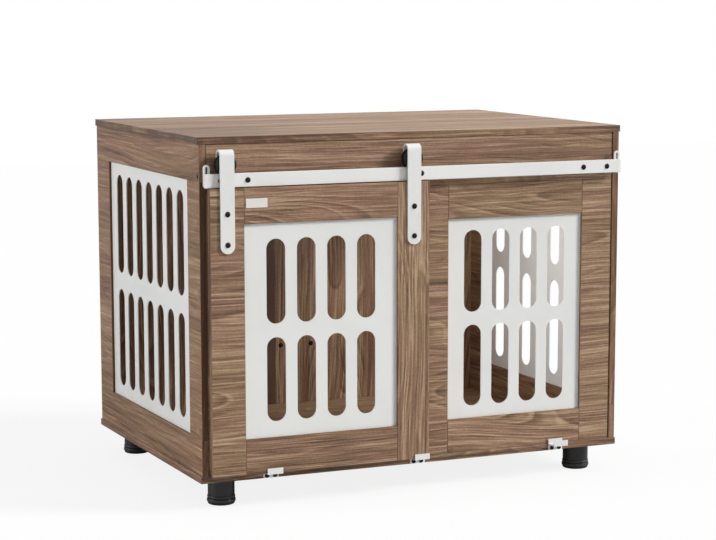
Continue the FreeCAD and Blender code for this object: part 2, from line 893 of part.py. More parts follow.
# One black screw through each side panel into the end of the fascia.
side_screws = new_body("side_screws")
side_screw_height = "places.top_under - sizes.fascia_screw_drop"
for side, sign, panel_x in (
    (left_side, "-", "sizes.depth - sizes.front_setback - sizes.board / 2"),
    (right_side, "", "sizes.front_setback + sizes.board / 2"),
):
    name = side["high"].Name
    outer = f"{sign}places.side_outer"
    if sign:
        head_start = outer
        shank_start = f"{outer} + sizes.screw_head"
    else:
        head_start = f"{outer} - sizes.screw_head"
        shank_start = f"{outer} - sizes.screw_length"
    at = ("places.panel_middle", side_screw_height)
    rod(
        side_screws,
        f"{name}_head",
        "sizes.screw_head_radius",
        "sizes.screw_head",
        (head_start, *at),
        "X",
    )
    rod(
        side_screws,
        f"{name}_shank",
        "sizes.screw_radius",
        "sizes.screw_length - sizes.screw_head",
        (shank_start, *at),
        "X",
    )
    rail_height = f"{side_screw_height} - places.base_top"
    bore(
        side["high"],
        f"{name}_fascia_sink",
        "sizes.screw_head_radius + sizes.bore_clear",
        "sizes.screw_head + sizes.overcut",
        (panel_x, "-sizes.overcut", rail_height),
        "Y",
    )
    bore(
        side["high"],
        f"{name}_fascia_hole",
        hole_radius,
        "sizes.board + sizes.overcut",
        (panel_x, "0", rail_height),
        "Y",
    )
    pilot = "(sizes.screw_length - sizes.board + sizes.end_clear)"
    pilot_start = f"{sign}places.side_inner" if sign else f"places.side_inner - {pilot}"
    bore(fascia, f"{name}_pilot", hole_radius, pilot, (pilot_start, *at), "X")

# ---------------------------------------------------------------- feet

stud_hole = "sizes.stud_radius + sizes.bore_clear"


def ring_corners(radius, low, high):
    """The outer corners of a moulded ring between two heights, both rounded."""
    soft = "sizes.foot_ring_round"
    inner = f"{radius} - {soft}"
    return [
        (inner, low),
        (radius, f"{low} + {soft}", inner, f"{low} + {soft}", "left"),
        (radius, f"{high} - {soft}"),
        (inner, high, inner, f"{high} - {soft}", "left"),
    ]


toe = "sizes.foot_toe_radius"
toe_round = "sizes.foot_round"
low_ring = "sizes.foot_low_ring_start"
low_ring_top = f"({low_ring} + sizes.foot_low_ring)"
high_ring = f"({low_ring_top} + sizes.foot_groove)"
high_ring_top = f"({high_ring} + sizes.foot_high_ring)"
foot_profile = [
    ("0", "0"),
    (f"{toe} - {toe_round}", "0"),
    (toe, toe_round, f"{toe} - {toe_round}", toe_round, "left"),
    (toe, low_ring),
    *ring_corners("sizes.foot_low_ring_radius", low_ring, low_ring_top),
    ("sizes.foot_neck_radius", low_ring_top),
    ("sizes.foot_neck_radius", high_ring),
    *ring_corners("sizes.foot_high_ring_radius", high_ring, high_ring_top),
    ("sizes.foot_radius", high_ring_top),
    ("sizes.foot_radius", "sizes.foot_height"),
    ("0", "sizes.foot_height"),
]
foot_rows = (
    ("front", "places.foot_front"),
    ("rear", "places.rear - sizes.foot_inset_front"),
)
for depth_name, foot_y in foot_rows:
    for side_name, foot_x in (("left", "places.foot_left"), ("right", "-places.foot_left")):
        label = f"foot_{depth_name}_{side_name}"
        foot = new_body(label, (foot_x, foot_y, "0"))
        turned = outline(foot, f"{label}_profile", "XZ_Plane", foot_profile)
        revolve(foot, f"{label}_turned", turned, "V_Axis")
        bore(
            foot,
            f"{label}_stud_hole",
            stud_hole,
            "sizes.stud_in_foot + sizes.end_clear + sizes.overcut",
            ("0", "0", "sizes.foot_height - sizes.stud_in_foot - sizes.end_clear"),
        )
studs = new_body("foot_studs")
stud_run = ("X", "-2 * places.foot_left", PAIR)
for depth_name, foot_y in foot_rows:
    rod(
        studs,
        f"{depth_name}_stud",
        "sizes.stud_radius",
        "sizes.stud_in_foot + sizes.stud_in_board",
        ("places.foot_left", foot_y, "sizes.foot_height - sizes.stud_in_foot"),
        run=stud_run,
    )
    bore(
        bottom_board,
        f"{depth_name}_stud_socket",
        stud_hole,
        "sizes.stud_in_board + sizes.end_clear + sizes.overcut",
        ("places.foot_left", foot_y, "places.floor_face - sizes.overcut"),
        run=stud_run,
    )

# ---------------------------------------------------------------- track with its stops

bolt_hole = "sizes.bolt_radius + sizes.bore_clear"
track = new_body("track_bar")
soften(
    track,
    box(
        track,
        "track_blank",
        ("2 * places.track_half", "sizes.track_thick", "sizes.track_height"),
        ("-places.track_half", "places.track_front", "places.track_under"),
    ),
)
spacers = new_body("track_spacers")
track_bolts = new_body("track_bolts")
end_bolt_x = "-(sizes.width / 2 - sizes.track_inset - sizes.track_end_bolt)"
second_bolt_x = "-(sizes.width / 2 - sizes.track_inset - sizes.track_second_bolt)"
spacer_length = "(places.panel_front - places.track_back)"
track_shank = f"sizes.track_thick + {spacer_length} + sizes.board - sizes.end_clear"
track_screw_line = (
    ("end", end_bolt_x, ("X", f"-2 * {end_bolt_x}", PAIR)),
    ("second", second_bolt_x, ("X", f"-2 * {second_bolt_x}", PAIR)),
    ("middle", "0", None),
)
for name, bolt_x, run in track_screw_line:
    rod(
        track_bolts,
        f"{name}_bolt_shank",
        "sizes.bolt_radius",
        track_shank,
        (bolt_x, "places.track_front", "places.track_middle"),
        "Y",
        run,
    )
    button_head(
        track_bolts,
        f"{name}_bolt_head",
        "sizes.bolt_head_radius",
        "sizes.bolt_head",
        (bolt_x, "places.track_front", "places.track_middle"),
        run,
    )
    rod(
        spacers,
        f"{name}_spacer",
        "sizes.spacer_radius",
        spacer_length,
        (bolt_x, "places.track_back", "places.track_middle"),
        "Y",
        run,
    )
    bore(
        track,
        f"{name}_track_hole",
        bolt_hole,
        "sizes.track_thick + 2 * sizes.overcut",
        (bolt_x, "places.track_front - sizes.overcut", "places.track_middle"),
        "Y",
        run,
    )
    bore(
        fascia,
        f"{name}_fascia_hole",
        bolt_hole,
        "sizes.board + sizes.overcut",
        (bolt_x, "places.panel_front - sizes.overcut", "places.track_middle"),
        "Y",
        run,
    )
for name, bolt_x, run in track_screw_line:
    bore(
        spacers,
        f"{name}_spacer_hole",
        bolt_hole,
        f"{spacer_length} + 2 * sizes.overcut",
        (bolt_x, "places.track_back - sizes.overcut", "places.track_middle"),
        "Y",
        run,
    )

# Upright stop plates with a slot, seated on the back of the track at both ends.
stop_middle_z = "places.track_top + sizes.stop_rise - places.stop_height / 2"
for side_name, stop_x in (
    ("left", "-(places.track_half - sizes.stop_inset)"),
    ("right", "places.track_half - sizes.stop_inset"),
):
    label = f"end_stop_{side_name}"
    stop = new_body(label, (stop_x, "places.track_back + sizes.stop_thick", stop_middle_z))
    outer = slot_outline(
        stop, f"{label}_outline", "sizes.stop_width", "places.stop_height", ORIGIN
    )
    pad(stop, f"{label}_plate", outer, "sizes.stop_thick")
    inner = slot_outline(
        stop,
        f"{label}_slot_outline",
        "sizes.stop_slot",
        "places.stop_height - sizes.stop_width + sizes.stop_slot",
        ("0", "0", "sizes.stop_thick"),
    )
    pocket_through(stop, f"{label}_slot", inner)

# ---------------------------------------------------------------- floor guides

# A channel folded from a strip: a plate on the edge of the bottom board, which rises behind the
# door, a ledge under the door and a lip before it.
guide_reach = "(sizes.door_gap + sizes.board + sizes.guide_lip_gap + sizes.guide_thick)"
guide_top = "(sizes.board - sizes.guide_foot)"
lip_top = f"{guide_top} + sizes.guide_lip"
guide_profile = [
    ("0", "0"),
    ("0", lip_top),
    ("-sizes.guide_thick", lip_top),
    ("-sizes.guide_thick", guide_top),
    (f"sizes.guide_thick - {guide_reach}", guide_top),
    (f"sizes.guide_thick - {guide_reach}", lip_top),
    (f"-{guide_reach}", lip_top),
    (f"-{guide_reach}", f"{guide_top} - sizes.guide_thick"),
    ("-sizes.guide_thick", f"{guide_top} - sizes.guide_thick"),
    ("-sizes.guide_thick", "0"),
]
guide_bottom = "places.floor_face + sizes.guide_foot"
guide_screws = new_body("guide_screws")
guide_screw_z = "places.floor_face + sizes.guide_screw_height"
guide_face = "places.front - sizes.guide_thick"
for name, steps in (("left", "-1"), ("middle", "0"), ("right", "1")):
    label = f"floor_guide_{name}"
    middle_x = f"({steps} * (sizes.width / 2 - sizes.guide_inset))"
    first_x = f"{middle_x} - sizes.guide_screw_spacing / 2"
    pair = ("X", "sizes.guide_screw_spacing", PAIR)
    guide = new_body(
        label, (f"{middle_x} - sizes.guide_width / 2", "places.front", guide_bottom)
    )
    folded = outline(guide, f"{label}_profile", "YZ_Plane", guide_profile)
    pad(guide, f"{label}_strip", folded, "sizes.guide_width")
    bore(
        guide,
        f"{label}_hole",
        hole_radius,
        "sizes.guide_thick + 2 * sizes.overcut",
        (
            "(sizes.guide_width - sizes.guide_screw_spacing) / 2",
            "-sizes.guide_thick - sizes.overcut",
            "sizes.guide_screw_height - sizes.guide_foot",
        ),
        "Y",
        run=pair,
    )
    button_head(
        guide_screws,
        f"{label}_screw_head",
        "sizes.guide_screw_head_radius",
        "sizes.screw_head",
        (first_x, guide_face, guide_screw_z),
        pair,
    )
    rod(
        guide_screws,
        f"{label}_screw_shank",
        "sizes.screw_radius",
        shank_length,
        (first_x, guide_face, guide_screw_z),
        "Y",
        run=pair,
    )
    bore(
        bottom_board,
        f"{label}_pilot",
        hole_radius,
        f"{shank_length} - sizes.guide_thick + sizes.end_clear + sizes.overcut",
        (first_x, "places.front - sizes.overcut", guide_screw_z),
        "Y",
        run=pair,
    )

# ---------------------------------------------------------------- door

door = framed_panel(
    "door",
    {
        "width": "places.door_width",
        "height": "places.door_height",
        "stile_left": "sizes.door_stile",
        "stile_right": "sizes.door_stile",
        "rail_low": "sizes.door_bottom_rail",
        "rail_high": "sizes.door_top_rail",
        "margin": "sizes.door_slot_margin",
        "gap": "sizes.front_slot_gap",
        "rails_run_through": False,
    },
    {"left": "left_stile", "right": "right_stile", "low": "bottom_rail", "high": "top_rail"},
    ("places.door_left", "places.door_front", "places.door_under"),
)
name_plate = new_body("name_plate")
box(
    name_plate,
    "plate_blank",
    ("sizes.plate_width", "sizes.plate_thick", "sizes.plate_height"),
    (
        "places.door_left + sizes.door_stile + sizes.plate_side_gap",
        "places.door_front - sizes.plate_thick",
        "places.door_top - sizes.plate_drop - sizes.plate_height",
    ),
)

# ---------------------------------------------------------------- hangers, axles and rollers

strap = "sizes.strap_thick"
hook_radius = "places.hook_inside / 2"
hook_end = "places.hook_rise - sizes.hook_tail"
hanger_profile = [
    (f"-{strap}", "-places.hanger_drop"),
    ("0", "-places.hanger_drop"),
    ("0", "places.hook_rise"),
    ("places.hook_inside", "places.hook_rise", hook_radius, "places.hook_rise", "right"),
    ("places.hook_inside", hook_end),
    (f"places.hook_inside + {strap}", hook_end),
    (f"places.hook_inside + {strap}", "places.hook_rise"),
    (f"-{strap}", "places.hook_rise", hook_radius, "places.hook_rise", "left"),
]
strap_radius = "sizes.strap_width / 2"
end_cut = [
    ("0", strap_radius),
    ("sizes.strap_width", strap_radius, strap_radius, strap_radius, "left"),
    ("sizes.strap_width + sizes.overcut", strap_radius),
    ("sizes.strap_width + sizes.overcut", "-sizes.overcut"),
    ("-sizes.overcut", "-sizes.overcut"),
    ("-sizes.overcut", strap_radius),
]
half_groove = "sizes.roller_groove / 2"
half_roller = "sizes.roller_width / 2"
axle_hole = "(sizes.axle_radius + sizes.running_clear)"
flange = "sizes.roller_flange"
rim = "sizes.roller_rim"
roller_profile = [
    (f"-{half_roller}", axle_hole),
    (half_roller, axle_hole),
    (half_roller, f"{flange} - {rim}"),
    (f"{half_roller} - {rim}", flange, f"{half_roller} - {rim}", f"{flange} - {rim}", "left"),
    (f"{half_groove} + sizes.groove_flare", flange),
    (half_groove, "sizes.roller_tread"),
    (f"-{half_groove}", "sizes.roller_tread"),
    (f"-{half_groove} - sizes.groove_flare", flange),
    (f"{rim} - {half_roller}", flange),
    (f"-{half_roller}", f"{flange} - {rim}", f"{rim} - {half_roller}", f"{flange} - {rim}", "left"),
]
hanger_bolts = new_body("hanger_bolts")
axles = new_body("roller_axles")
shank = f"{strap} + sizes.board"
bolt_pair = ("Z", "sizes.hanger_bolt_pitch", PAIR)
for side_name, middle_x, stile in (
    ("left", "places.hanger_left_middle", door["left"]),
    ("right", "places.hanger_right_middle", door["right"]),
):
    label = f"hanger_{side_name}"
    hanger = new_body(
        label, (f"{middle_x} - {strap_radius}", "places.door_front", "places.axle_height")
    )
    bent = outline(hanger, f"{label}_profile", "YZ_Plane", hanger_profile)
    pad(hanger, f"{label}_strap", bent, "sizes.strap_width")
    rounded = outline(
        hanger,
        f"{label}_end_outline",
        "XZ_Plane",
        end_cut,
        ("0", "-places.hanger_drop", f"{strap} + sizes.overcut"),
    )
    pocket_through(hanger, f"{label}_end", rounded)
    bore(
        hanger,
        f"{label}_hole",
        bolt_hole,
        f"{strap} + 2 * sizes.overcut",
        (
            strap_radius,
            f"-{strap} - sizes.overcut",
            "places.hanger_bolt_low - places.axle_height",
        ),
        "Y",
        run=bolt_pair,
    )

    # two bolts through the strap and the stile, with flat nuts behind the door
    rod(
        hanger_bolts,
        f"{label}_bolt_shank",
        "sizes.bolt_radius",
        shank,
        (middle_x, f"places.door_front - {strap}", "places.hanger_bolt_low"),
        "Y",
        run=bolt_pair,
    )
    button_head(
        hanger_bolts,
        f"{label}_bolt_head",
        "sizes.bolt_head_radius",
        "sizes.bolt_head",
        (middle_x, f"places.door_front - {strap}", "places.hanger_bolt_low"),
        bolt_pair,
    )
    rod(
        hanger_bolts,
        f"{label}_bolt_nut",
        "sizes.nut_radius",
        "sizes.nut",
        (middle_x, "places.door_back", "places.hanger_bolt_low"),
        "Y",
        run=bolt_pair,
    )
    bore(
        stile,
        f"{label}_stile_hole",
        bolt_hole,
        "sizes.board + 2 * sizes.overcut",
        (
            f"{middle_x} - places.door_left",
            "-sizes.overcut",
            "places.hanger_bolt_low - places.door_under",
        ),
        "Y",
        run=bolt_pair,
    )

    # the axle stands on the back of the strap, with a collar before the roller and a head behind
    roller_back = f"places.roller_middle + {half_roller}"
    rod(
        axles,
        f"{side_name}_collar",
        "sizes.axle_collar_radius",
        "sizes.axle_collar",
        (middle_x, "places.door_front", "places.axle_height"),
        "Y",
    )
    rod(
        axles,
        f"{side_name}_axle",
        "sizes.axle_radius",
        f"{roller_back} + sizes.ride_gap - places.door_front",
        (middle_x, "places.door_front", "places.axle_height"),
        "Y",
    )
    rod(
        axles,
        f"{side_name}_axle_head",
        "sizes.axle_head_radius",
        "sizes.axle_head",
        (middle_x, f"{roller_back} + sizes.ride_gap", "places.axle_height"),
        "Y",
    )
    roller = new_body(
        f"roller_{side_name}", (middle_x, "places.roller_middle", "places.axle_height")
    )
    grooved = outline(roller, f"roller_{side_name}_profile", "YZ_Plane", roller_profile)
    revolve(roller, f"roller_{side_name}_turned", grooved, "H_Axis")

# ---------------------------------------------------------------- build, check and write

doc.recompute()
troubled = [
    item.Name for item in doc.Objects if "Invalid" in item.State or "Error" in item.State
]
if troubled:
    raise RuntimeError(f"features that failed: {troubled}")
for body in sub_parts:
    if body.Shape.isNull() or not body.Shape.isValid() or not body.Shape.Solids:
        raise RuntimeError(f"{body.Label} has no sound solid")

os.makedirs("parts", exist_ok=True)
for body in sub_parts:
    body.Shape.exportStep(os.path.join("parts", f"{body.Label}.step"))
    print(f"{body.Label}: {len(body.Shape.Solids)} solids, {body.Shape.Volume:.0f} mm3")
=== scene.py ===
import math

import bpy
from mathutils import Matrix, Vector


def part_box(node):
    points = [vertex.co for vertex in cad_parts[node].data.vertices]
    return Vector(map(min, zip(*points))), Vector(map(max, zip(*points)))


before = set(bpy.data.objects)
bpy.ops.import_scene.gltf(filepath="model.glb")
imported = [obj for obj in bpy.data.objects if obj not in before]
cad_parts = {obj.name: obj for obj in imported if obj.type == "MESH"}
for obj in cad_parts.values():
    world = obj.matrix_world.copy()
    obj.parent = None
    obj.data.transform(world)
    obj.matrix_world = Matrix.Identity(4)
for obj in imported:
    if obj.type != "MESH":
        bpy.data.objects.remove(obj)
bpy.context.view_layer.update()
bpy.ops.object.select_all(action="DESELECT")


# Camera. The photograph was taken a little above the table top and well to its left,
# with a long lens from about four metres.
camera_dip = 8.664
camera_swing = 24.443
bpy.ops.object.camera_add(location=(-1.6047, -3.6258, 0.8667))
camera = bpy.context.object
camera.name = "camera"
camera.rotation_euler = (math.radians(90 - camera_dip), 0, math.radians(-camera_swing))
camera.data.lens = 109.3
camera.data.sensor_width = 36
camera.data.shift_x = -0.0257
camera.data.shift_y = 0.0712
bpy.context.scene.camera = camera


# Studio lights. A soft key light from the far right in front, a broad one from overhead
# and a low one from the left, in a white surround. A small lamp lifts the inside.
def aim(lamp, toward):
    lamp.rotation_euler = Vector(toward).to_track_quat("Z", "Y").to_euler()


def sun(name, toward, spread, strength):
    bpy.ops.object.light_add(type="SUN", location=(0, 0, 2))
    lamp = bpy.context.object
    lamp.name = name
    lamp.data.angle = math.radians(spread)
    lamp.data.energy = strength
    aim(lamp, toward)


sun("key_light", toward=(1.8, -1.0, 1.2), spread=18, strength=3.1)
sun("overhead_light", toward=(0.1, 0.0, 1.0), spread=60, strength=0.45)
sun("left_light", toward=(-1.0, 0.2, 0.22), spread=30, strength=1.3)
bpy.ops.object.light_add(type="AREA", location=(0.08, -0.17, 0.42))
inside = bpy.context.object
inside.name = "inside_light"
inside.data.size = 0.12
inside.data.energy = 0.75
inside.visible_camera = False
aim(inside, toward=(-0.62, -0.78, 0.0))


class Number:
    """A value that runs through a material. Arithmetic on it adds Math nodes."""

    def __init__(self, shader, socket):
        self.shader = shader
        self.socket = socket

    def math(self, operation, first, second=0.0):
        settings = {"operation": operation}
        made = self.shader.node("ShaderNodeMath", settings, {0: first, 1: second})
        return Number(self.shader, made.outputs[0])

    def __add__(self, other):
        return self.math("ADD", self, other)

    __radd__ = __add__

    def __sub__(self, other):
        return self.math("SUBTRACT", self, other)

    def __rsub__(self, other):
        return self.math("SUBTRACT", other, self)

    def __mul__(self, other):
        return self.math("MULTIPLY", self, other)

    __rmul__ = __mul__

    def __pow__(self, other):
        return self.math("POWER", self, other)

    def __abs__(self):
        return self.math("ABSOLUTE", self)

    def lower(self, other):
        return self.math("MINIMUM", self, other)

    def higher(self, other):
        return self.math("MAXIMUM", self, other)

    def over(self, other):
        return self.math("GREATER_THAN", self, other)

    def part(self):
        return self.math("FRACT", self)

    def ramp(self, start, end):
        settings = {"interpolation_type": "SMOOTHSTEP"}
        sockets = {"Value": self, "From Min": start, "From Max": end}
        made = self.shader.node("ShaderNodeMapRange", settings, sockets)
        return Number(self.shader, made.outputs["Result"])

    def near(self, place, reach):
        """1 where the value is at a place, falling to 0 at a reach from it."""
        return 1.0 - abs(self - place).ramp(0.0, reach)


class Shader:
    """The nodes of one material, or of the surround. Each comes from the node method."""

    def __init__(self, owner):
        owner.use_nodes = True
        self.owner = owner
        self.tree = owner.node_tree

    def node(self, kind, settings, sockets):
        made = self.tree.nodes.new(kind)
        for name, setting in settings.items():
            setattr(made, name, setting)
        for key, value in sockets.items():
            self.feed(made.inputs[key], value)
        return made

    def feed(self, socket, value):
        if isinstance(value, Number):
            self.tree.links.new(value.socket, socket)
        elif isinstance(value, bpy.types.NodeSocket):
            self.tree.links.new(value, socket)
        else:
            socket.default_value = value

    def axes(self, output):
        place = self.node("ShaderNodeTexCoord", {}, {})
        made = self.node("ShaderNodeSeparateXYZ", {}, {"Vector": place.outputs[output]})
        return [Number(self, socket) for socket in made.outputs]

    def noise(self, x, y, z, detail=2.0, roughness=0.5):
        point = self.node("ShaderNodeCombineXYZ", {}, {"X": x, "Y": y, "Z": z})
        sockets = {"Vector": point.outputs[0], "Scale": 1.0}
        sockets.update({"Detail": detail, "Roughness": roughness})
        made = self.node("ShaderNodeTexNoise", {}, sockets)
        return Number(self, made.outputs["Fac"])

    def speckle(self, waves, detail=2.0, roughness=0.5):
        """Even noise over the piece, in waves per metre."""
        x, y, z = self.axes("Object")
        return self.noise(x * waves, y * waves, z * waves, detail, roughness)

    def blend(self, amount, first, second):
        settings = {"data_type": "RGBA"}
        made = self.node("ShaderNodeMix", settings, {0: amount, 6: first, 7: second})
        return made.outputs[2]

    def finish(self, colour, roughness, height, depth, gloss=0.3, metal=0.0):
        """Makes the surface. The relief is as deep as depth says, in metres."""
        surface = self.tree.nodes["Principled BSDF"]
        surface.inputs["Specular IOR Level"].default_value = gloss
        surface.inputs["Metallic"].default_value = metal
        sockets = {"Height": height, "Distance": depth, "Strength": 1.0}
        bump = self.node("ShaderNodeBump", {}, sockets)
        self.feed(surface.inputs["Base Color"], colour)
        self.feed(surface.inputs["Roughness"], roughness)
        self.feed(surface.inputs["Normal"], bump.outputs["Normal"])
        return self.owner


light_on_object = 0.25
world = bpy.data.worlds.new("surround")
bpy.context.scene.world = world
surround = Shader(world)
ray = surround.node("ShaderNodeLightPath", {}, {})
seen = Number(surround, ray.outputs["Is Camera Ray"]).higher(ray.outputs["Is Glossy Ray"])
background = surround.tree.nodes["Background"]
background.inputs["Color"].default_value = (1, 1, 1, 1)
surround.feed(background.inputs["Strength"], seen * (1.0 - light_on_object) + light_on_object)
bpy.context.scene.view_settings.view_transform = "Standard"


# Bottom board. Chipboard 12 mm thick in a printed walnut foil, with a banded front edge.
# It carries the sides, the fixed panel and the back, and the feet are below it.
X, Y, Z = range(3)

# the parts of the foil's grain: waves per metre along and across it, its own place in the
# noise, and the noise's detail and roughness
grain_parts = {
    "wander": (2.4, 7.0, 0.0, 1.0, 0.5),
    "ripple": (13.0, 36.0, 3.0, 2.0, 0.5),
    "broad": (2.4, 60.0, 5.0, 2.0, 0.5),
    "streak": (4.2, 280.0, 7.0, 2.0, 0.65),
    "fine": (11.0, 700.0, 9.0, 2.0, 0.7),
    "pore": (90.0, 1300.0, 11.0, 1.0, 0.5),
    "fleck": (210.0, 210.0, 13.0, 2.0, 0.6),
    "growth": (1.8, 13.0, 15.0, 0.0, 0.5),
    "force": (7.0, 30.0, 17.0, 1.0, 0.5),
    "glint": (10.0, 320.0, 19.0, 1.0, 0.5),
    "patch": (4.0, 18.0, 21.0, 1.0, 0.5),
}
ripple_width = 0.0035
growth_lines = 17.0
broad_force, streak_force, fine_force, fleck_force, glint_force = 1.4, 2.9, 2.6, 0.6, 0.6
early_force, late_force, pore_force, seam_dark_and_shade_force = 0.5, 0.7, 0.35, 0.55
seam_dark_and_shade_width = 0.0011
foil_relief = 0.00012
walnut_dark = (0.100, 0.055, 0.031, 1)
walnut_middle = (0.276, 0.167, 0.093, 1)
walnut_warm = (0.276, 0.151, 0.096, 1)
walnut_light = (0.520, 0.366, 0.230, 1)


def material(name):
    return Shader(bpy.data.materials.new(name))


def cover(node, finished):
    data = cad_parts[node].data
    data.materials.clear()
    data.materials.append(finished)


def seam(shader, node, reach):
    """How close a point is to an edge of the node's box, from 0 to 1 at the edge."""
    low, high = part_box(node)
    gaps = []
    for axis, place in enumerate(shader.axes("Object")):
        middle = (low[axis] + high[axis]) / 2
        gaps.append((high[axis] - low[axis]) / 2 - abs(place - middle))
    first, second, third = gaps
    edge = first.lower(second).higher(first.higher(second).lower(third))
    return 1.0 - edge.ramp(0.0, reach)


def foil(
    node, along, across, swing, figure, band, tone, seed, extra=None, coarse=1.0, gloss=0.35
):
    """Covers a board in walnut foil. The grain runs along one axis and swings across
    another, and figure sets how strong its growth lines are. The edge setting darkens the
    narrow edges, partly as the edge band's own tone and on some boards as painted shade,
    and tone makes the whole board paler or darker. Extra adds one board's own figure, and
    on the back panel a painted shadow too. A coarse foil has softer, broader streaks."""
    shader = material("walnut_" + node)
    place = shader.axes("Object")
    facing = shader.axes("Normal")
    thick = X + Y + Z - along - across
    turned = 0.7
    end = abs(facing[along]).over(turned)
    flat = abs(facing[thick]).over(turned)

    # the seed shifts the board to a part of the foil of its own
    run = place[along] + (place[across] - place[along]) * end + seed * 1.37
    side = place[thick] + place[across] * (1.0 - end) + seed * 0.61

    def grain(part, line, softness=1.0):
        along_waves, across_waves, offset, detail, roughness = grain_parts[part]
        line = line * (across_waves / softness)
        return shader.noise(run * along_waves, line, seed + offset, detail, roughness)

    # the grain wanders, and its streaks are long and thin at four sizes
    wander = (grain("wander", side) - 0.5) * swing
    ripple = (grain("ripple", side) - 0.5) * ripple_width
    bent = side + wander + ripple
    broad = grain("broad", bent, coarse)
    streak = grain("streak", bent, coarse)
    fine = grain("fine", bent, coarse)
    pore = grain("pore", bent)
    fleck = grain("fleck", side)

    # the growth lines are the contours of a long smooth field, and fade in and out
    turn = (grain("growth", bent) * growth_lines).part()
    late = turn.ramp(0.45, 0.93) * (1.0 - turn.ramp(0.94, 1.0))
    early = turn.near(0.12, 0.16)
    force = grain("force", bent).ramp(0.40, 0.62) * figure
    glint = grain("glint", bent).ramp(0.60, 0.72)

    # a level above 0 makes the foil paler, and one below 0 makes it darker
    level = (broad - 0.5) * broad_force + (streak - 0.5) * (streak_force / coarse**0.5)
    level = level + (fine - 0.5) * (fine_force / coarse) + (fleck - 0.5) * fleck_force
    level = level + glint * glint_force + (early * early_force - late * late_force) * force
    # the narrow edges darken by the edge setting: the edge band's own tone, and painted shade
    # on some boards
    level = level + tone + (1.0 - flat) * band
    if extra:
        level = level + extra(shader, place)

    body = shader.blend(grain("patch", bent).ramp(0.35, 0.65), walnut_middle, walnut_warm)
    low = shader.blend((level * -1.0).higher(0.0).lower(1.0), body, walnut_dark)
    colour = shader.blend(level.higher(0.0).lower(1.0), low, walnut_light)
    pores = (1.0 - pore.ramp(0.26, 0.40)) * pore_force
    # painted shade: each board darkens in a thin line along the edges of its box, partly the
    # foil's dark edge and partly shade in the seams between boards
    seam_dark_and_shade = seam(shader, node, seam_dark_and_shade_width) * seam_dark_and_shade_force
    colour = shader.blend(pores.higher(seam_dark_and_shade), colour, walnut_dark)
    roughness = 0.46 + fine * 0.14 + pores * 0.2
    height = fine * 0.6 + streak * 0.4 - pores
    cover(node, shader.finish(colour, roughness, height, foil_relief, gloss))


def edge_streak(shader, place):
    """The dark streak low on the front edge, between two of the guides."""
    x, y, z = place
    front_face, streak_height, streak_width, streak_strength = 0.2665, 0.0525, 0.0022, 2.2
    front = (y * -1.0).over(front_face)
    run = x.ramp(-0.02, 0.01) * (1.0 - x.ramp(0.12, 0.25))
    return z.near(streak_height, streak_width) * front * run * -streak_strength


# its tone is raised all over as painted light on the floor seen inside the table
foil(
    "bottom_board", X, Y, swing=0.02, figure=0.6, band=-0.50, tone=0.15, seed=1.7,
    extra=edge_streak,
)


# Side frames. Each side is two stiles and two rails of foiled board, dowelled together
# into one frame that stands on the bottom board.
# The rear stiles' narrow edges are darkened strongly as painted shade beside the grilles, and
# the front stiles' as painted shadow from the door.
side_grain = {
    "rear_stile": dict(swing=0.014, figure=0.45, band=-2.0, tone=-0.08, coarse=2.4),
    "front_stile": dict(swing=0.014, figure=0.45, band=-0.9, tone=-0.08, coarse=2.2),
    "bottom_rail": dict(swing=0.005, figure=0.35, band=-0.3, tone=-0.08, coarse=1.3),
    "top_rail": dict(swing=0.026, figure=0.8, band=-0.1, tone=-0.14, coarse=2.1),
}
seed_step = 1.7
for number, side in enumerate(("left_side_", "right_side_")):
    for place, (piece, looks) in enumerate(side_grain.items()):
        looks = dict(looks, seed=5.1 + place * seed_step + number * 9.3, gloss=0.2)
        # the right side's edges get a fifth of this painted edge shade
        looks["band"] *= 1.0 - number * 0.8
        looks["tone"] -= number * 0.15
        foil(side + piece, Y, Z, **looks)


# White grilles. Each is a sheet of steel with rows of round-ended slots punched through it
# and a baked white powder coat, held in a groove round the inside of its frame.
coat_white = (0.84, 0.842, 0.82)
coat_relief = 0.00003


def powder_coat(node, tint=coat_white, kind="powder_coat_"):
    """Covers a node in satin paint with a fine peel and a slight cloud in its tint."""
    shader = material(kind + node)
    peel = shader.speckle(900.0)
    cloud = shader.speckle(9.0, detail=3.0)
    shade = tuple(channel * 0.965 for channel in tint)
    colour = shader.blend(cloud.ramp(0.35, 0.7), tint + (1,), shade + (1,))
    cover(node, shader.finish(colour, 0.36 + cloud * 0.12, peel, coat_relief))


for node in ("left_side_grille", "right_side_grille", "fixed_panel_grille", "door_grille"):
    powder_coat(node)


# Back panel. A thin foiled sheet in a rabbet, whose grain stands upright, with a nail every
# so often along its edges and two black screws through it low in the middle.
def crown(shader, place):
    """One rounded crown of figure and a dark stripe of painted shadow, both on the inner
    face.
    """
    x, y, z = place
    low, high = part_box("back_panel")
    inner = 1.0 - y.over((low[Y] + high[Y]) / 2)

    # the crown is a round arch whose legs run down and lean a little
    crown_x, crown_z, crown_lean, leg_spread = 0.085, 0.310, 0.03, 0.25
    across = x - crown_x + (z - 0.30) * crown_lean
    drop = (z - crown_z).lower(0.0)
    reach = (across * across + drop * drop * leg_spread) ** 0.5
    ring = reach.near(0.0135, 0.0035) * 0.6 + (1.0 - reach.ramp(0.011, 0.015)) * 0.65

    # the painted shadow stripe has a slightly ragged edge
    shadow_x, shadow_width, shadow_strength = -0.064, 0.026, 1.5
    ragged = (shader.noise(x * 20.0, z * 6.0, 3.0) - 0.5) * 0.01
    painted_shadow = (x + ragged).near(shadow_x, shadow_width).ramp(0.0, 0.3) * shadow_strength
    return (ring + painted_shadow) * inner * -1.0


foil(
    "back_panel", Z, X, swing=0.05, figure=0.8, band=0.0, tone=-0.1, seed=23.3, extra=crown
)

black_relief = 0.00006


